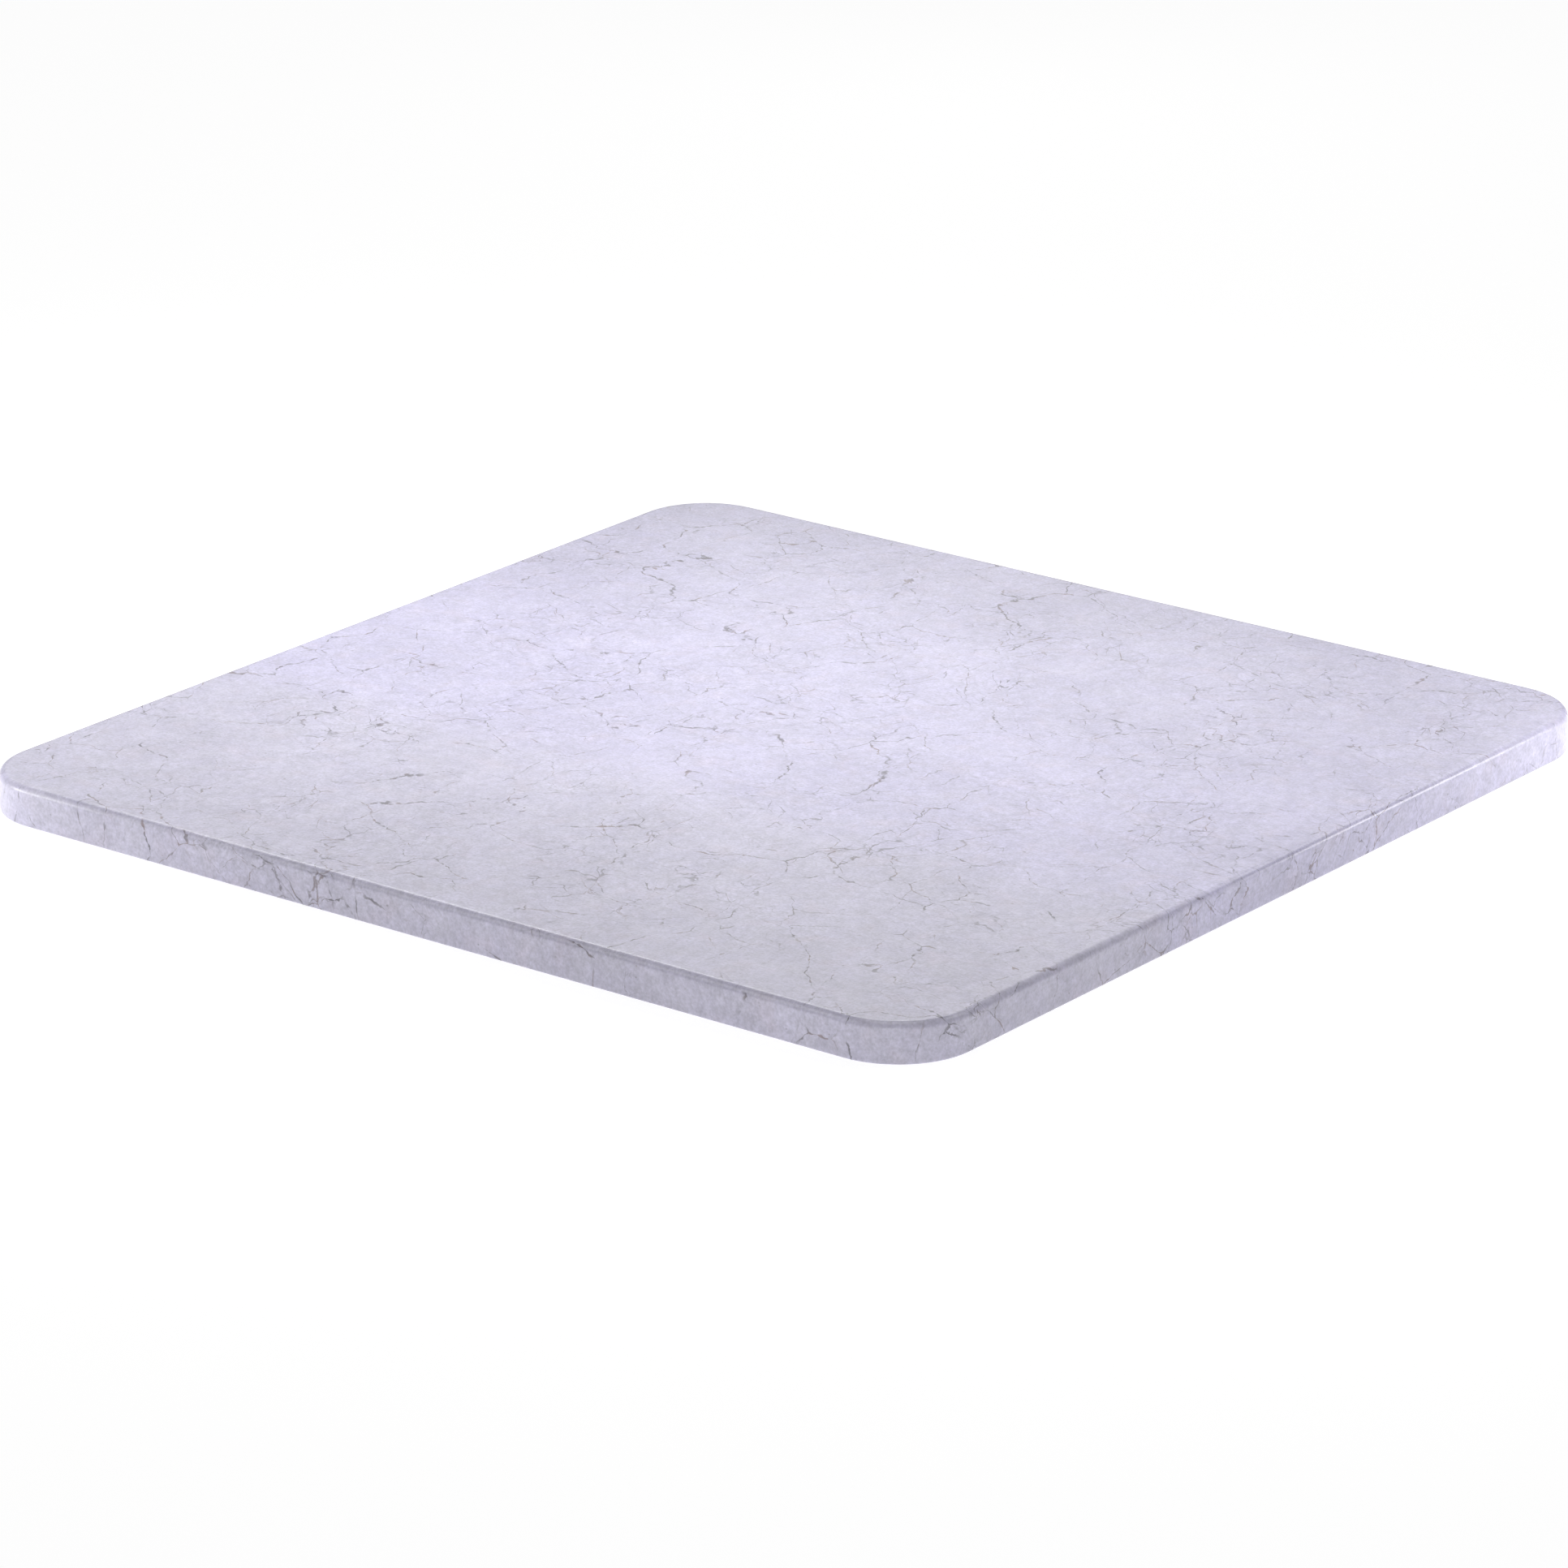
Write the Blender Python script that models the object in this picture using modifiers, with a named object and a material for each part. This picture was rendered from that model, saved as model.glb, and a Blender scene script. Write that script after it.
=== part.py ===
"""Granite slab for leather tooling: one piece of stone, cut square with rounded corners.

The origin is the centre of the slab's underside, +Z is up, and everything is in metres.
The side that faces the worker is at -Y.
"""
import math

import bmesh
import bpy

# Driving dimensions, in metres.
SLAB_WIDTH = 0.457  # along X, 18 in
SLAB_DEPTH = 0.457  # along Y, 18 in
SLAB_THICKNESS = 0.016  # 5/8 in
CORNER_RADIUS = 0.032  # of the outline, seen from above, 1 1/4 in
TOP_ARRIS_RADIUS = 0.003  # the rounded edge around the working face, 1/8 in
BASE_ARRIS_RADIUS = 0.0006  # the edge around the underside, only dulled with a stone

# How finely the round stretches are divided.
CORNER_SEGMENTS = 20
TOP_ARRIS_SEGMENTS = 5
BASE_ARRIS_SEGMENTS = 2

# Two neighbouring faces that meet at more than this are shaded as a hard edge.
SHARP_ANGLE = math.radians(40)

# The stone: pale grey with a lavender cast, polished but not glassy.
STONE_COLOUR = (0.56, 0.54, 0.64, 1.0)  # linear RGB
STONE_ROUGHNESS = 0.3


def clear_scene():
    """Remove the objects that a new file opens with."""
    for obj in list(bpy.data.objects):
        bpy.data.objects.remove(obj, do_unlink=True)


def make_collection(name):
    """Return a new collection in the scene."""
    collection = bpy.data.collections.new(name)
    bpy.context.scene.collection.children.link(collection)
    return collection


def make_stone():
    """Return the plain polished stone material."""
    material = bpy.data.materials.new("polished_stone")
    material.use_nodes = True
    shader = material.node_tree.nodes["Principled BSDF"]
    shader.inputs["Base Color"].default_value = STONE_COLOUR
    shader.inputs["Roughness"].default_value = STONE_ROUGHNESS
    shader.inputs["Metallic"].default_value = 0.0
    material.diffuse_color = STONE_COLOUR
    return material


def edges_where(mesh, test):
    """Return the indices of the mesh's edges whose two end points both pass the test."""
    points = mesh.vertices
    return [edge.index for edge in mesh.edges if all(test(points[i].co) for i in edge.vertices)]


def weight_edges(mesh, name, indices):
    """Give the named bevel weight layer a weight of one on these edges."""
    layer = mesh.attributes.get(name) or mesh.attributes.new(name, "FLOAT", "EDGE")
    for index in indices:
        layer.data[index].value = 1.0


def round_edges(obj, name, radius, segments, indices):
    """Round the given edges to a quarter circle, and keep the result as the mesh."""
    weight_edges(obj.data, name, indices)
    bevel = obj.modifiers.new(name, "BEVEL")
    bevel.limit_method = "WEIGHT"
    bevel.edge_weight = name
    bevel.offset_type = "OFFSET"
    bevel.width = radius
    bevel.segments = segments
    bevel.profile = 0.5
    bevel.use_clamp_overlap = False
    bevel.harden_normals = False
    evaluated = obj.evaluated_get(bpy.context.evaluated_depsgraph_get())
    rounded = bpy.data.meshes.new_from_object(evaluated)
    plain = obj.data
    obj.modifiers.remove(bevel)
    obj.data = rounded
    bpy.data.meshes.remove(plain)
    obj.data.name = obj.name


def make_slab(collection, material):
    """Build the slab: a block, its four upright corners rounded, then its two arrises."""
    bpy.ops.mesh.primitive_cube_add(size=1.0, location=(0.0, 0.0, SLAB_THICKNESS / 2))
    slab = bpy.context.active_object
    slab.name = "slab"
    slab.scale = (SLAB_WIDTH, SLAB_DEPTH, SLAB_THICKNESS)
    bpy.ops.object.transform_apply(location=True, rotation=False, scale=True)
    for other in slab.users_collection:
        other.objects.unlink(slab)
    collection.objects.link(slab)

    # The upright corners run from the underside to the working face.
    points = slab.data.vertices
    upright = [
        edge.index
        for edge in slab.data.edges
        if abs(points[edge.vertices[0]].co.z - points[edge.vertices[1]].co.z) > SLAB_THICKNESS / 2
    ]
    round_edges(slab, "corners", CORNER_RADIUS, CORNER_SEGMENTS, upright)

    # Each arris follows the whole outline, at its own height.
    top = edges_where(slab.data, lambda point: point.z > SLAB_THICKNESS / 2)
    round_edges(slab, "top_arris", TOP_ARRIS_RADIUS, TOP_ARRIS_SEGMENTS, top)
    half_base = BASE_ARRIS_RADIUS / 2
    base = edges_where(slab.data, lambda point: point.z < half_base)
    round_edges(slab, "base_arris", BASE_ARRIS_RADIUS, BASE_ARRIS_SEGMENTS, base)

    slab.data.materials.clear()
    slab.data.materials.append(material)
    slab.data.shade_smooth()
    slab.data.set_sharp_from_angle(angle=SHARP_ANGLE)
    return slab


def build():
    """Make the whole object in its own collection."""
    clear_scene()
    collection = make_collection("granite_slab")
    make_slab(collection, make_stone())


build()
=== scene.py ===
"""Looks of the granite slab: a square of pale veined stone, polished on its face and edges.

Everything is in metres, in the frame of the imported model, with the slab lying on z = 0.
"""

import math

import bmesh
import bpy
from mathutils import Matrix, Vector


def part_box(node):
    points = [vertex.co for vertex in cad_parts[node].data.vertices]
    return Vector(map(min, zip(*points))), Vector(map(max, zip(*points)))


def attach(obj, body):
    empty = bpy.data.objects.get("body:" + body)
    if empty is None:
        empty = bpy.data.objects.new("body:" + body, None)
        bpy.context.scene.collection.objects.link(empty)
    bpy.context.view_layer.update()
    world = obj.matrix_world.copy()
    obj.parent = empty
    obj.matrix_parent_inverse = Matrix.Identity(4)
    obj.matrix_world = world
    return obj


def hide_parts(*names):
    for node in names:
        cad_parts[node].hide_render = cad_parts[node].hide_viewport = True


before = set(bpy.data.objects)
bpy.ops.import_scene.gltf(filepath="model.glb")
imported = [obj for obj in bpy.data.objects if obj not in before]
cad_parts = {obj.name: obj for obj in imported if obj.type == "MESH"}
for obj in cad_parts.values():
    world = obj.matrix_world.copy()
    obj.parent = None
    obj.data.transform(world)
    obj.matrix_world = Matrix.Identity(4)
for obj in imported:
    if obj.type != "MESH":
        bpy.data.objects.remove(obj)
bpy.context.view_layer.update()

# ---------------------------------------------------------------------------------------------
# The slab. One block of stone, sawn to thickness and cut to a square with round corners, then
# ground and polished on the face, the upper edge and the sides. It lies loose on its sawn base.

CORNER_RADIUS = 0.032
TOP_ARRIS_RADIUS = 0.003
BASE_ARRIS_RADIUS = 0.0006
CORNER_STEPS = 40
TOP_ARRIS_STEPS = 12
BASE_ARRIS_STEPS = 3
FLAT_RIM = 0.0004  # a narrow strip beside each rounded edge, which keeps the flat faces flat
TOUCH = 1e-7  # points nearer than this are one point

low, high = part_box("slab")
middle = (low + high) / 2
size = high - low

block = bmesh.new()
bmesh.ops.create_cube(block, size=1.0)
bmesh.ops.scale(block, vec=size, verts=block.verts)
bmesh.ops.translate(block, vec=middle, verts=block.verts)


def round_off(edges, radius, steps):
    """Turn these edges of the block into a quarter round."""
    bmesh.ops.bevel(
        block, geom=edges, offset=radius, offset_type="OFFSET", affect="EDGES",
        segments=steps, profile=0.5, material=-1, clamp_overlap=False,
    )


def level_edges(height):
    """The edges of the block that lie at this height."""
    return [e for e in block.edges if all(abs(v.co.z - height) < 10 * TOUCH for v in e.verts)]


def score(point, normal):
    """Cut the walls, and only them, along a plane, without taking anything away."""
    walls = [f for f in block.faces if abs(f.normal.z) < 0.01]
    parts = dict.fromkeys(item for f in walls for item in (*f.verts, *f.edges, f))
    bmesh.ops.bisect_plane(block, geom=list(parts), dist=TOUCH, plane_co=point, plane_no=normal)


upright = [e for e in block.edges if abs(e.verts[0].co.z - e.verts[1].co.z) > size.z / 2]
round_off(upright, CORNER_RADIUS, CORNER_STEPS)

# Each wall is scored beside its round corners and beside both arrises, and the face and the base
# are inset, so that the shading of the rounded parts stops there and the flat parts stay flat.
for axis in (0, 1):
    for side in (-1, 1):
        normal = Vector((0, 0, 0))
        normal[axis] = side
        reach = size[axis] / 2 - CORNER_RADIUS - FLAT_RIM
        score(middle + normal * reach, normal)
round_off(level_edges(high.z), TOP_ARRIS_RADIUS, TOP_ARRIS_STEPS)
round_off(level_edges(low.z), BASE_ARRIS_RADIUS, BASE_ARRIS_STEPS)
up = Vector((0, 0, 1))
score(Vector((0, 0, high.z - TOP_ARRIS_RADIUS - FLAT_RIM)), up)
score(Vector((0, 0, low.z + BASE_ARRIS_RADIUS + FLAT_RIM)), up)
for direction in (1, -1):
    level = [f for f in block.faces if f.normal.z * direction > 0.99]
    flat = max(level, key=lambda f: f.calc_area())
    bmesh.ops.inset_region(block, faces=[flat], thickness=FLAT_RIM, use_even_offset=True)
for face in block.faces:
    face.smooth = True
    face.material_index = 1 if face.normal.z < -0.999 else 0

# The face, the edge and the sides share one map, rolled flat outwards from the face like the rim
# of a tray. The base has a smaller map beside it.
MAP_NAME = "OFBake"
TRAY_SHARE = 0.745  # of the side of the map
BASE_SHARE = 0.235
MAP_GAP = (1 - TRAY_SHARE - BASE_SHARE) / 3


def rolled_flat(point):
    """Where a point of the face, the edge or a side lies on the flat tray."""
    plan = (point - middle).xy
    if point.z > high.z - TOUCH:
        return plan
    reach = size.x / 2 - CORNER_RADIUS
    hub = Vector(max(-reach, min(reach, along)) for along in plan)
    outward = plan - hub
    if point.z > high.z - TOP_ARRIS_RADIUS:
        rise = point.z - high.z + TOP_ARRIS_RADIUS
        run = TOP_ARRIS_RADIUS * math.acos(rise / TOP_ARRIS_RADIUS)
    else:
        run = TOP_ARRIS_RADIUS * math.pi / 2 + high.z - TOP_ARRIS_RADIUS - point.z
    sunk = low.z + BASE_ARRIS_RADIUS - point.z
    if sunk > 0:
        run += BASE_ARRIS_RADIUS * math.asin(min(1, sunk / BASE_ARRIS_RADIUS)) - sunk
    return hub + outward.normalized() * (CORNER_RADIUS - TOP_ARRIS_RADIUS + run)


tray_span = 2 * max(abs(along) for v in block.verts for along in rolled_flat(v.co))
layer = block.loops.layers.uv.new(MAP_NAME)
for face in block.faces:
    for corner in face.loops:
        if face.material_index == 0:
            spot = rolled_flat(corner.vert.co) / tray_span * TRAY_SHARE
            centre = MAP_GAP + TRAY_SHARE / 2
            corner[layer].uv = (centre + spot.x, centre + spot.y)
        else:
            spot = (corner.vert.co - middle) / size.x * BASE_SHARE
            centre = MAP_GAP + BASE_SHARE / 2
            corner[layer].uv = (1 - centre - spot.x, centre + spot.y)

slab_mesh = bpy.data.meshes.new("stone_slab")
block.to_mesh(slab_mesh)
block.free()
slab = bpy.data.objects.new("stone_slab", slab_mesh)
bpy.context.scene.collection.objects.link(slab)


# The stone is of the marble type: a pale lavender-grey ground of fine crystals, clouded by clay and
# healed after breaking many times, so that hair-thin jagged veins of brown-grey mineral cross it.
# Its figure runs right through the block, so the sides show it cut across, and the base lower down.

STONE_IOR = 1.5
BLOCK_PLACE = (1.3, 0.7, 0.4)  # where in the quarry's bed the block was cut
BENDS = (  # reach of each bend of the seams, its width, and its octaves
    (0.030, 0.062, 1),
    (0.011, 0.019, 1),
    (0.0036, 0.0048, 2),
)
VEINS = (  # size of the fragments, half width of the veins round them, opacity, share left out
    (0.060, 0.00022, 0.68, 0.42),
    (0.031, 0.00019, 0.60, 0.44),
    (0.015, 0.00016, 0.50, 0.47),
)
VEIN_CORE, VEIN_FADE = 0.3, 1.5  # where a vein starts to fade and is gone, in half widths
VEIN_ZONE = 0.048  # width of the parts of the bed that have veins or are free of them
VEIN_ZONE_FADE = 0.10  # how slowly the one gives way to the other
VEIN_RUN = 0.012  # length over which a vein comes and goes
VEIN_LEAST = 0.08  # share of a vein that is left where it goes
BEAD = 0.0024  # spacing of the beads that the mineral gathers into
BEAD_THINNEST, BEAD_THICKEST = 0.25, 2.1  # how much they thin and thicken the vein
FLECKS = (  # spacing of the loose specks of mineral, share of it that the largest fills, opacity
    (0.0042, 0.14, 0.60),
    (0.0023, 0.19, 0.48),
)
FLECK_MISSING = 0.30  # share of the places where a fleck hardly grew
FLECK_EDGE = (-0.08, 0.02)  # where the edge of a fleck fades, in spacings
FLECK_CLUSTER = 0.026  # width of a cluster of flecks
FLECK_FAINTEST = 0.3  # how strongly the flecks between the clusters show
FLECK_SLANT = math.radians(-52)  # the way in which the flecks lie
FLECK_STRETCH = (0.6, 1.0, 0.8)  # a share under 1 draws them out that way
LACE = 0.0056  # mesh of the faint darker net between the crystal clusters
LACE_LINE = 0.0010  # half width of its threads
LACE_FAINTEST = 0.3  # how strongly it shows where it is faint
LACE_SHADE = 0.085  # how much it darkens the ground
GROUND_LIFT = 1.030  # makes up for what the lace takes from the ground
GROUND = (  # width of each mottle of the ground, its octaves, and its contrast
    (0.085, 2, 0.15),
    (0.018, 3, 0.20),
    (0.0034, 2, 0.39),
    (0.0011, 1, 0.48),  # the sugary grain, drawn about twice as coarse as it is so that it shows
)
HAZE = 0.955  # brightness that the ground keeps where the widest-spaced veins cross it
LAVENDER, CLAY, ROSE = "#CCC8E3", "#CDCADC", "#D0C4D3"
DARK_MINERAL, RUSTY_MINERAL = "#3E3835", "#75594A"
CLAY_FULL, CLAY_STARTS = -0.10, -0.05  # forwards of the slab's middle line
FADE_STARTS, FADE_ENDS = 0.02, 0.20  # behind it
LAVENDER_MOST = 0.64  # share of lavender in the middle of the bed
LAVENDER_LEFT = 0.55  # how much of that is left at the back
LAVENDER_CLOUDS = 0.36  # the most that the small clouds add to it
BLUSH_WIDTH = 0.013  # of the small rosy clouds
BLUSH_MOST = 0.25  # share of rose in them


def linear(hex_colour):
    """An sRGB hex colour as linear RGBA."""
    parts = [int(hex_colour[i : i + 2], 16) / 255 for i in (1, 3, 5)]
    return (*(p / 12.92 if p <= 0.04045 else ((p + 0.055) / 1.055) ** 2.4 for p in parts), 1.0)


def add(material, kind, inputs, **settings):
    """Add a node to a material. An input is a plain value, or the output or node that feeds it."""
    node = material.node_tree.nodes.new("ShaderNode" + kind)
    for name, value in settings.items():
        setattr(node, name, value)
    for socket, value in inputs.items():
        if isinstance(value, bpy.types.Node):
            value = value.outputs[0]
        if isinstance(value, bpy.types.NodeSocket):
            material.node_tree.links.new(value, node.inputs[socket])
        else:
            node.inputs[socket].default_value = value
    return node


def veined_stone(stone):
    """Build the figure of the stone in a material, and give its colour."""
    place = add(stone, "TexCoord", {}).outputs["Object"]
    face_place = place
    place = add(stone, "Mapping", {"Vector": place, "Location": BLOCK_PLACE})

    # The seams between the healed fragments bend slowly and jag quickly.
    seam_place = place
    for reach, width, octaves in BENDS:
        drift = add(
            stone, "TexNoise", {"Vector": seam_place, "Scale": 1 / width, "Detail": octaves}
        )
        drift = add(
            stone, "VectorMath", {0: drift.outputs["Color"], 1: (0.5, 0.5, 0.5)},
            operation="SUBTRACT",
        )
        seam_place = add(
            stone, "VectorMath", {0: drift, 1: (reach, reach, reach), 2: seam_place},
            operation="MULTIPLY_ADD",
        )

    # Whole parts of the bed are free of veins, a vein comes and goes along its length, and the
    # mineral in it gathers into beads. Each layer of veins takes one channel of these fields.
    # The values of a noise lie mostly from 0.3 to 0.7, and each range below picks some of them.
    zones = add(stone, "TexNoise", {"Vector": place, "Scale": 1 / VEIN_ZONE, "Detail": 2})
    zones = add(stone, "SeparateXYZ", {0: zones.outputs["Color"]})
    runs = add(stone, "TexNoise", {"Vector": place, "Scale": 1 / VEIN_RUN, "Detail": 2})
    runs = add(stone, "SeparateXYZ", {0: runs.outputs["Color"]})
    beads = add(stone, "TexNoise", {"Vector": place, "Scale": 1 / BEAD, "Detail": 2})
    beads = add(stone, "SeparateXYZ", {0: beads.outputs["Color"]})
    marks = 0.0
    for layer, (fragment, half_width, opacity, left_out) in enumerate(VEINS):
        seam = add(
            stone, "TexVoronoi", {"Vector": seam_place, "Scale": 1 / fragment},
            feature="DISTANCE_TO_EDGE",
        )
        gathered = add(
            stone, "MapRange",
            {
                "Value": beads.outputs[layer], "From Min": 0.36, "From Max": 0.68,
                "To Min": BEAD_THINNEST, "To Max": BEAD_THICKEST,
            },
            interpolation_type="SMOOTHSTEP",
        )
        thinned = add(stone, "Math", {0: seam, 1: gathered}, operation="DIVIDE")
        line = add(
            stone, "MapRange",
            {
                "Value": thinned, "From Min": VEIN_CORE * half_width / fragment,
                "From Max": VEIN_FADE * half_width / fragment, "To Min": opacity, "To Max": 0.0,
            },
            interpolation_type="SMOOTHSTEP",
        )
        zone = add(
            stone, "MapRange",
            {
                "Value": zones.outputs[layer], "From Min": left_out,
                "From Max": left_out + VEIN_ZONE_FADE,
            },
            interpolation_type="SMOOTHSTEP",
        )
        run = add(
            stone, "MapRange",
            {
                "Value": runs.outputs[layer], "From Min": 0.38, "From Max": 0.57,
                "To Min": VEIN_LEAST,
            },
            interpolation_type="SMOOTHSTEP",
        )
        shown = add(stone, "Math", {0: zone, 1: run}, operation="MULTIPLY")
        vein = add(stone, "Math", {0: line, 1: shown}, operation="MULTIPLY")
        marks = add(stone, "Math", {0: vein, 1: marks}, operation="MAXIMUM")

    # The flecks are specks and short dashes of the same mineral, strewn in clusters.
    cluster = add(stone, "TexNoise", {"Vector": place, "Scale": 1 / FLECK_CLUSTER, "Detail": 2})
    cluster = add(stone, "SeparateXYZ", {0: cluster.outputs["Color"]})
    for layer, (spacing, largest, opacity) in enumerate(FLECKS):
        strewn = add(
            stone, "Mapping",
            {"Vector": place, "Rotation": (0, 0, FLECK_SLANT), "Scale": FLECK_STRETCH},
        )
        cells = add(stone, "TexVoronoi", {"Vector": strewn, "Scale": 1 / spacing}, feature="F1")
        fate = add(stone, "SeparateXYZ", {0: cells.outputs["Color"]})
        grown = add(
            stone, "MapRange",
            {"Value": fate.outputs[0], "From Min": FLECK_MISSING, "To Max": largest},
        )
        rim = add(stone, "Math", {0: cells, 1: grown}, operation="SUBTRACT")
        fleck = add(
            stone, "MapRange",
            {
                "Value": rim, "From Min": FLECK_EDGE[0], "From Max": FLECK_EDGE[1],
                "To Min": opacity, "To Max": 0.0,
            },
            interpolation_type="SMOOTHSTEP",
        )
        crowding = add(
            stone, "MapRange",
            {
                "Value": cluster.outputs[layer], "From Min": 0.38, "From Max": 0.60,
                "To Min": FLECK_FAINTEST,
            },
            interpolation_type="SMOOTHSTEP",
        )
        fleck = add(stone, "Math", {0: fleck, 1: crowding}, operation="MULTIPLY")
        fleck = add(stone, "Math", {0: fleck, 1: fate.outputs[1]}, operation="MULTIPLY")
        marks = add(stone, "Math", {0: fleck, 1: marks}, operation="MAXIMUM")

    # The ground is a mass of pale crystals with a faint darker lace between them.
    net = add(
        stone, "TexVoronoi", {"Vector": seam_place, "Scale": 1 / LACE}, feature="DISTANCE_TO_EDGE"
    )
    lace = add(
        stone, "MapRange",
        {"Value": net, "From Max": LACE_LINE / LACE, "To Min": 1.0, "To Max": 0.0},
        interpolation_type="SMOOTHSTEP",
    )
    lace_zone = add(
        stone, "MapRange",
        {
            "Value": zones.outputs[2], "From Min": 0.38, "From Max": 0.62,
            "To Min": LACE_FAINTEST,
        },
        interpolation_type="SMOOTHSTEP",
    )
    lace = add(stone, "Math", {0: lace, 1: lace_zone}, operation="MULTIPLY")
    shade = add(
        stone, "Math", {0: lace, 1: -LACE_SHADE, 2: GROUND_LIFT}, operation="MULTIPLY_ADD"
    )
    for width, octaves, contrast in GROUND:
        mottle = add(stone, "TexNoise", {"Vector": place, "Scale": 1 / width, "Detail": octaves})
        swing = add(
            stone, "Math", {0: mottle, 1: contrast, 2: 1 - contrast / 2}, operation="MULTIPLY_ADD"
        )
        shade = add(stone, "Math", {0: shade, 1: swing}, operation="MULTIPLY")
    haze = add(
        stone, "MapRange",
        {"Value": zones, "From Min": 0.44, "From Max": 0.62, "To Min": 1.0, "To Max": HAZE},
        interpolation_type="SMOOTHSTEP",
    )
    shade = add(stone, "Math", {0: shade, 1: haze}, operation="MULTIPLY")

    # Towards the front the bed turns from lavender to a greyer clay, and towards the back it
    # does so again in part. The borders wander with the seams, and small clouds of lavender and
    # of rose lie all over the bed.
    wander = add(stone, "VectorMath", {0: seam_place, 1: place}, operation="SUBTRACT")
    wander = add(stone, "VectorMath", {0: wander, 1: face_place}, operation="ADD")
    bed = add(stone, "SeparateXYZ", {0: wander}).outputs["Y"]
    front = add(
        stone, "MapRange",
        {
            "Value": bed, "From Min": CLAY_FULL, "From Max": CLAY_STARTS,
            "To Max": LAVENDER_MOST,
        },
        interpolation_type="SMOOTHSTEP",
    )
    far = add(
        stone, "MapRange",
        {
            "Value": bed, "From Min": FADE_STARTS, "From Max": FADE_ENDS,
            "To Min": 1.0, "To Max": LAVENDER_LEFT,
        },
        interpolation_type="SMOOTHSTEP",
    )
    bed = add(stone, "Math", {0: front, 1: far}, operation="MULTIPLY")
    tint = add(
        stone, "MapRange",
        {
            "Value": runs.outputs[2], "From Min": 0.30, "From Max": 0.70,
            "To Max": LAVENDER_CLOUDS,
        },
    )
    lavender = add(stone, "Math", {0: bed, 1: tint}, operation="ADD")
    ground = add(
        stone, "Mix", {0: lavender, 6: linear(CLAY), 7: linear(LAVENDER)}, data_type="RGBA"
    )
    blush = add(stone, "TexNoise", {"Vector": place, "Scale": 1 / BLUSH_WIDTH, "Detail": 2})
    blush = add(
        stone, "MapRange",
        {"Value": blush, "From Min": 0.50, "From Max": 0.76, "To Max": BLUSH_MOST},
        interpolation_type="SMOOTHSTEP",
    )
    ground = add(
        stone, "Mix", {0: blush, 6: ground.outputs[2], 7: linear(ROSE)}, data_type="RGBA"
    )
    ground = add(
        stone, "VectorMath", {0: ground.outputs[2], "Scale": shade}, operation="SCALE"
    )
    rust = add(
        stone, "MapRange", {"Value": runs.outputs[1], "From Min": 0.50, "From Max": 0.66},
        interpolation_type="SMOOTHSTEP",
    )
    mineral = add(
        stone, "Mix", {0: rust, 6: linear(DARK_MINERAL), 7: linear(RUSTY_MINERAL)}, data_type="RGBA"
    )
    colour = add(stone, "Mix", {0: marks, 6: ground, 7: mineral.outputs[2]}, data_type="RGBA")
    return colour.outputs[2]


# The face and the edge are polished with ever finer abrasive, short of a mirror, so that a lamp
# shows in them as a wide soft sheen, a little tighter where the pads rubbed longer.
RUB_WIDTH = 0.05  # of the patches that the pads rubbed for a longer or a shorter time
SMOOTHEST, ROUGHEST = 0.26, 0.30

polished = bpy.data.materials.new("polished_veined_stone")
polished.use_nodes = True
polished.node_tree.nodes.clear()
figure = veined_stone(polished)
place = add(polished, "TexCoord", {}).outputs["Object"]
rubbed = add(polished, "TexNoise", {"Vector": place, "Scale": 1 / RUB_WIDTH, "Detail": 2})
polish = add(
    polished, "MapRange",
    {
        "Value": rubbed, "From Min": 0.3, "From Max": 0.7,
        "To Min": SMOOTHEST, "To Max": ROUGHEST,
    },
)
surface = add(
    polished, "BsdfPrincipled", {"Base Color": figure, "Roughness": polish, "IOR": STONE_IOR}
)
add(polished, "OutputMaterial", {"Surface": surface})

# The base is left as the gang saw cut it: matt, a little paler with stone dust, and scored by
# fine parallel strokes of the blades.
SAW_STROKE = 0.0024  # spacing of the strokes that the saw left on the base
SAW_DEPTH = 0.00012
WAVE_STROKE = 0.314  # spacing of the bands of a wave texture whose scale is 1
STONE_DUST = "#D9D8DC"
DUST_GRAIN = 0.0012
DUST_HEIGHT = 0.6  # of its grains, to that of a stroke
DUST_THINNEST, DUST_THICKEST = 0.12, 0.42  # share of the stone that it covers
SAWN_ROUGHNESS = 0.72

sawn = bpy.data.materials.new("sawn_veined_stone")
sawn.use_nodes = True
sawn.node_tree.nodes.clear()
figure = veined_stone(sawn)
place = add(sawn, "TexCoord", {}).outputs["Object"]
strokes = add(
    sawn, "TexWave",
    {
        "Vector": place, "Scale": WAVE_STROKE / SAW_STROKE, "Distortion": 2.0,
        "Detail": 2.0, "Detail Scale": 0.3,
    },
    bands_direction="Y",
)
dust = add(sawn, "TexNoise", {"Vector": place, "Scale": 1 / DUST_GRAIN, "Detail": 2})
cut = add(
    sawn, "Math", {0: dust, 1: DUST_HEIGHT, 2: strokes.outputs["Fac"]}, operation="MULTIPLY_ADD"
)
scored = add(sawn, "Bump", {"Height": cut, "Strength": 0.5, "Distance": SAW_DEPTH})
dusted = add(
    sawn, "MapRange",
    {
        "Value": cut, "From Max": 1 + DUST_HEIGHT,
        "To Min": DUST_THINNEST, "To Max": DUST_THICKEST,
    },
)
dusty = add(sawn, "Mix", {0: dusted, 6: figure, 7: linear(STONE_DUST)}, data_type="RGBA")
surface = add(
    sawn, "BsdfPrincipled",
    {
        "Base Color": dusty.outputs[2], "Roughness": SAWN_ROUGHNESS, "Normal": scored,
        "IOR": STONE_IOR,
    },
)
add(sawn, "OutputMaterial", {"Surface": surface})

slab_mesh.materials.append(polished)
slab_mesh.materials.append(sawn)
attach(slab, "root")
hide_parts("slab")

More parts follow.
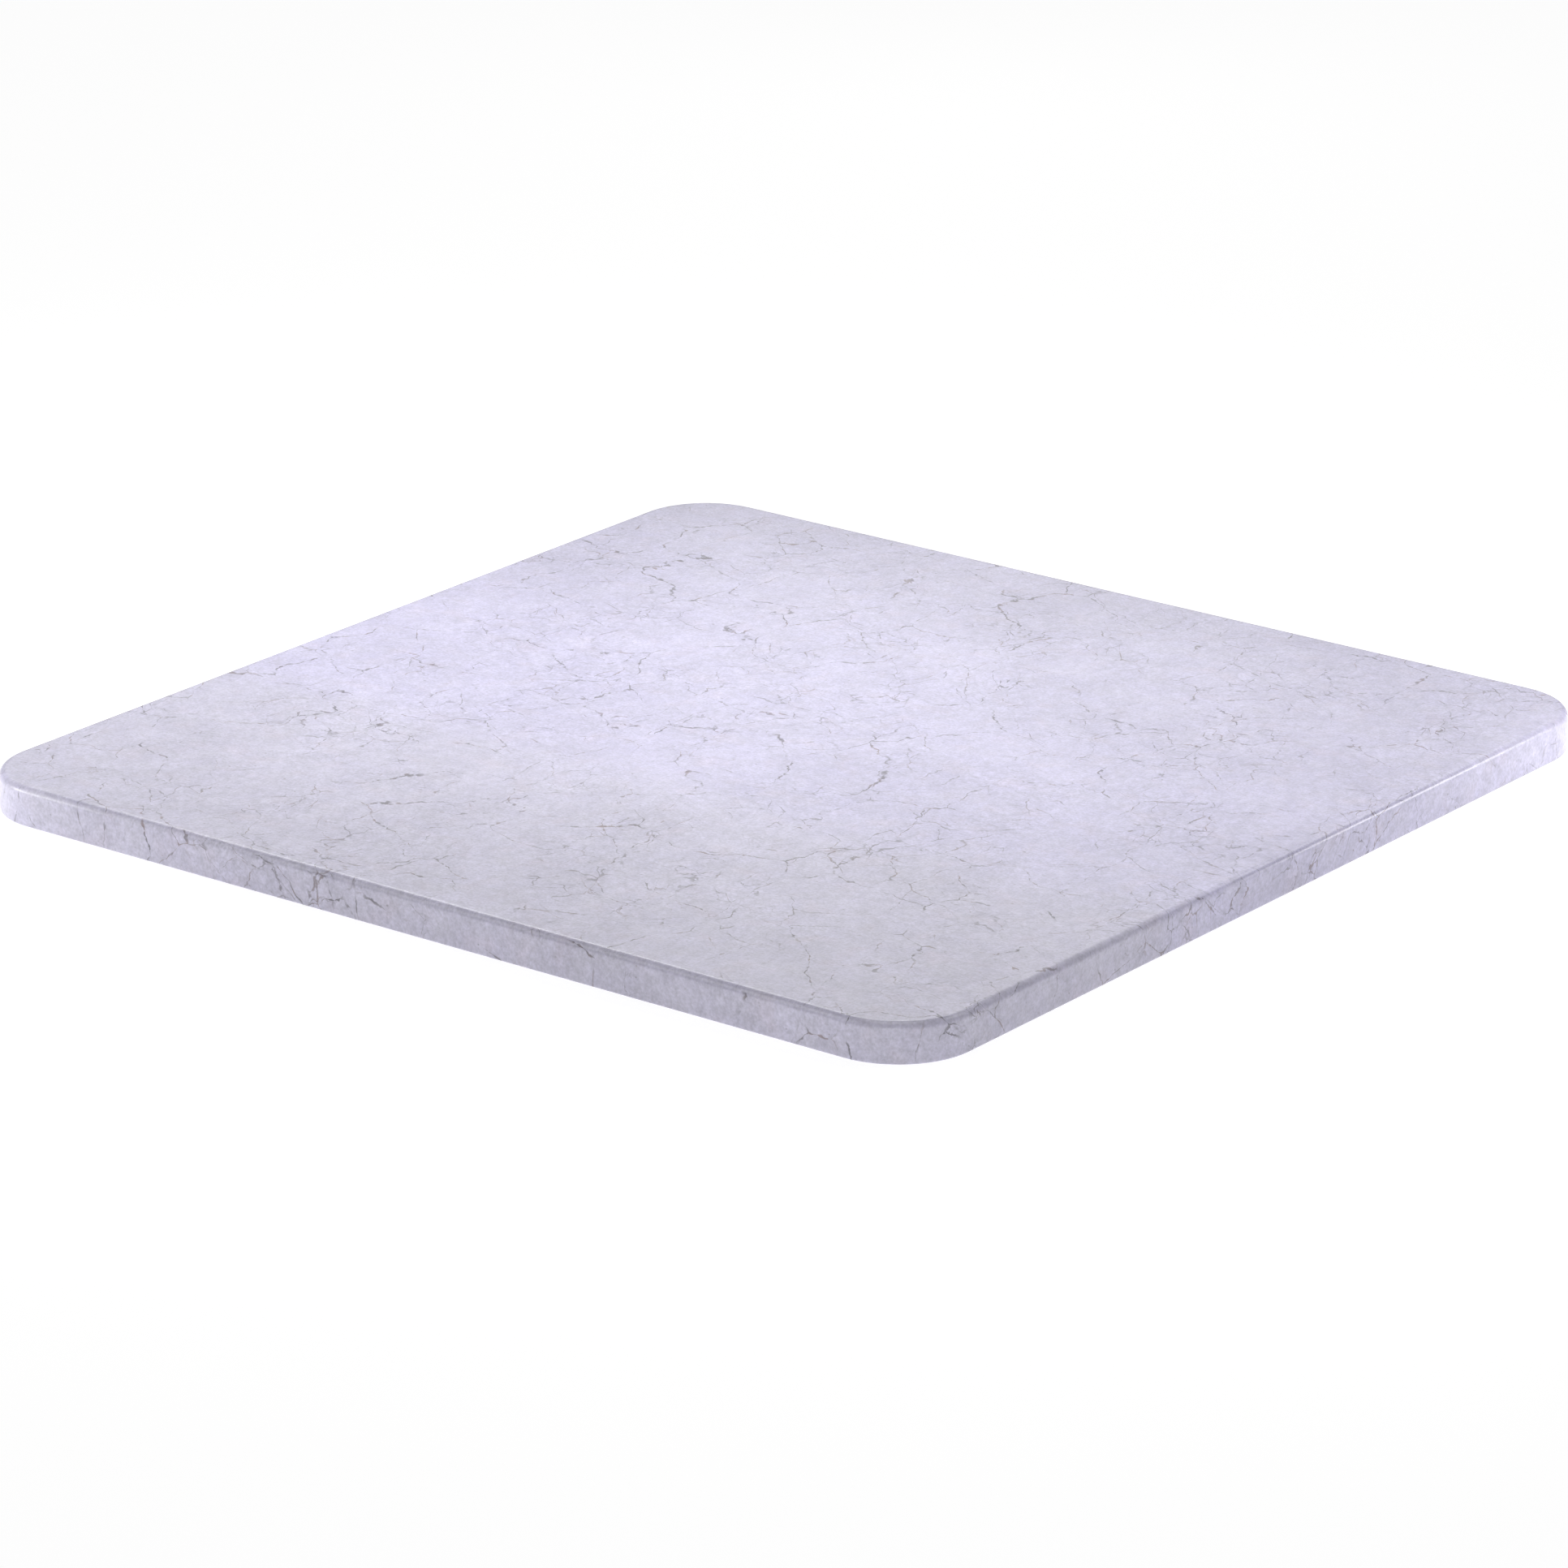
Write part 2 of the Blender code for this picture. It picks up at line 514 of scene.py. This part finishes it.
# ---------------------------------------------------------------------------------------------
# The studio. The slab lies on a light table, a sheet of matt white plastic lit from below, under
# four wide panels of soft light, and smaller soft boxes even out its face and lift its ends.

TABLE_SIZE = 16.0
TABLE_GAP = 0.0002  # the sawn base rests on its high spots
TABLE_WHITE = "#AAAAAA"
TABLE_GLOW = 0.805

bpy.ops.mesh.primitive_plane_add(size=TABLE_SIZE, location=(0, 0, low.z - TABLE_GAP))
table = bpy.context.active_object
table.name = "light_table"
plastic = bpy.data.materials.new("matt_white_acrylic")
plastic.use_nodes = True
# Its glow is met by chance and only the lamps are aimed at, which keeps the stone free of grain.
plastic.cycles.emission_sampling = "NONE"
plastic.node_tree.nodes.clear()
sheet = add(
    plastic, "BsdfPrincipled",
    {
        "Base Color": linear(TABLE_WHITE), "Roughness": 1.0, "Specular IOR Level": 0.0,
        "Emission Color": (1, 1, 1, 1), "Emission Strength": TABLE_GLOW,
    },
)
add(plastic, "OutputMaterial", {"Surface": sheet})
table.data.materials.append(plastic)

# Beyond the table the room is seen as white, but it sheds no light of its own.
world = bpy.data.worlds.new("studio_room")
bpy.context.scene.world = world
world.use_nodes = True
world.cycles.sampling_method = "NONE"
room = world.node_tree.nodes["Background"]
room.inputs["Color"].default_value = (1, 1, 1, 1)
seen = world.node_tree.nodes.new("ShaderNodeLightPath")
world.node_tree.links.new(seen.outputs["Is Camera Ray"], room.inputs["Strength"])


def hang(lamp, position, aim):
    """Hang a lamp at a position, facing a point."""
    holder = bpy.data.objects.new(lamp.name, lamp)
    bpy.context.scene.collection.objects.link(holder)
    holder.location = position
    facing = Vector(aim) - Vector(position)
    holder.rotation_euler = facing.to_track_quat("-Z", "Y").to_euler()
    holder.visible_camera = False


# Each panel has the direction that its light comes from, its spread in degrees, and its strength.
for name, towards, spread, strength in (
    ("ceiling_panel", (0, -0.035, 1), 40, 0.76),
    ("back_panel", (-0.49, 0.65, 0.57), 40, 0.46),
    ("right_panel", (0, 0.755, 0.656), 30, 0.07),
    ("front_panel", (-0.57, -0.57, 0.59), 30, 0.40),
):
    panel = bpy.data.lights.new(name, "SUN")
    panel.angle = math.radians(spread)
    panel.energy = strength
    hang(panel, towards, (0, 0, 0))

# Each box has its place, the point that it faces, its width and height, and its power in watts.
for name, position, aim, width, height, power in (
    ("middle_box", (-0.05, 0.03, 0.30), (-0.05, 0.03, 0.0), 0.30, 0.20, 0.466),
    ("left_box", (-0.30, -0.02, 0.30), (-0.22, 0.0, 0.0), 0.25, 0.25, 0.505),
    ("right_box", (0.40, 0.05, 0.35), (0.15, 0.05, 0.0), 0.20, 0.20, 0.30),
    ("right_edge_box", (0.24, 0.30, 0.22), (0.2285, 0.05, 0.01), 0.15, 0.12, 0.149),
    ("back_box", (-0.62, 0.98, 0.37), (0.0, 0.15, 0.0), 0.35, 0.25, 0.153),
    ("left_end_box", (-0.42, -0.40, 0.06), (-0.22, -0.22, 0.01), 0.15, 0.10, 0.487),
    ("right_end_box", (0.36, 0.27, 0.05), (0.2285, 0.19, 0.01), 0.12, 0.06, 0.188),
    ("near_corner_strip", (0.29, -0.36, 0.022), (0.20, -0.215, 0.008), 0.10, 0.03, 0.040),
):
    box = bpy.data.lights.new(name, "AREA")
    box.shape = "RECTANGLE"
    box.size, box.size_y = width, height
    box.energy = power
    hang(box, position, aim)

# ---------------------------------------------------------------------------------------------
# The camera stands off the near corner, about 20 degrees above the table. Its long lens keeps the
# two pairs of sides nearly parallel.

AZIMUTH, ELEVATION, ROLL = math.radians(37.336), math.radians(19.585), math.radians(0.128)
DISTANCE = 2.8748
AIM = Vector((0.0041, -0.0111, 0.0))
SENSOR_WIDTH, FOCAL_LENGTH = 36.0, 168.71  # millimetres

back = Vector((
    math.sin(AZIMUTH) * math.cos(ELEVATION),
    -math.cos(AZIMUTH) * math.cos(ELEVATION),
    math.sin(ELEVATION),
))
right = Vector((math.cos(AZIMUTH), math.sin(AZIMUTH), 0))
above = back.cross(right)
turn = Matrix((
    right * math.cos(ROLL) + above * math.sin(ROLL),
    above * math.cos(ROLL) - right * math.sin(ROLL),
    back,
)).transposed()
lens = bpy.data.cameras.new("studio_camera")
lens.sensor_width = SENSOR_WIDTH
lens.lens = FOCAL_LENGTH
camera = bpy.data.objects.new("studio_camera", lens)
bpy.context.scene.collection.objects.link(camera)
camera.matrix_world = Matrix.Translation(AIM + back * DISTANCE) @ turn.to_4x4()
bpy.context.scene.camera = camera
bpy.context.scene.view_settings.view_transform = "Standard"
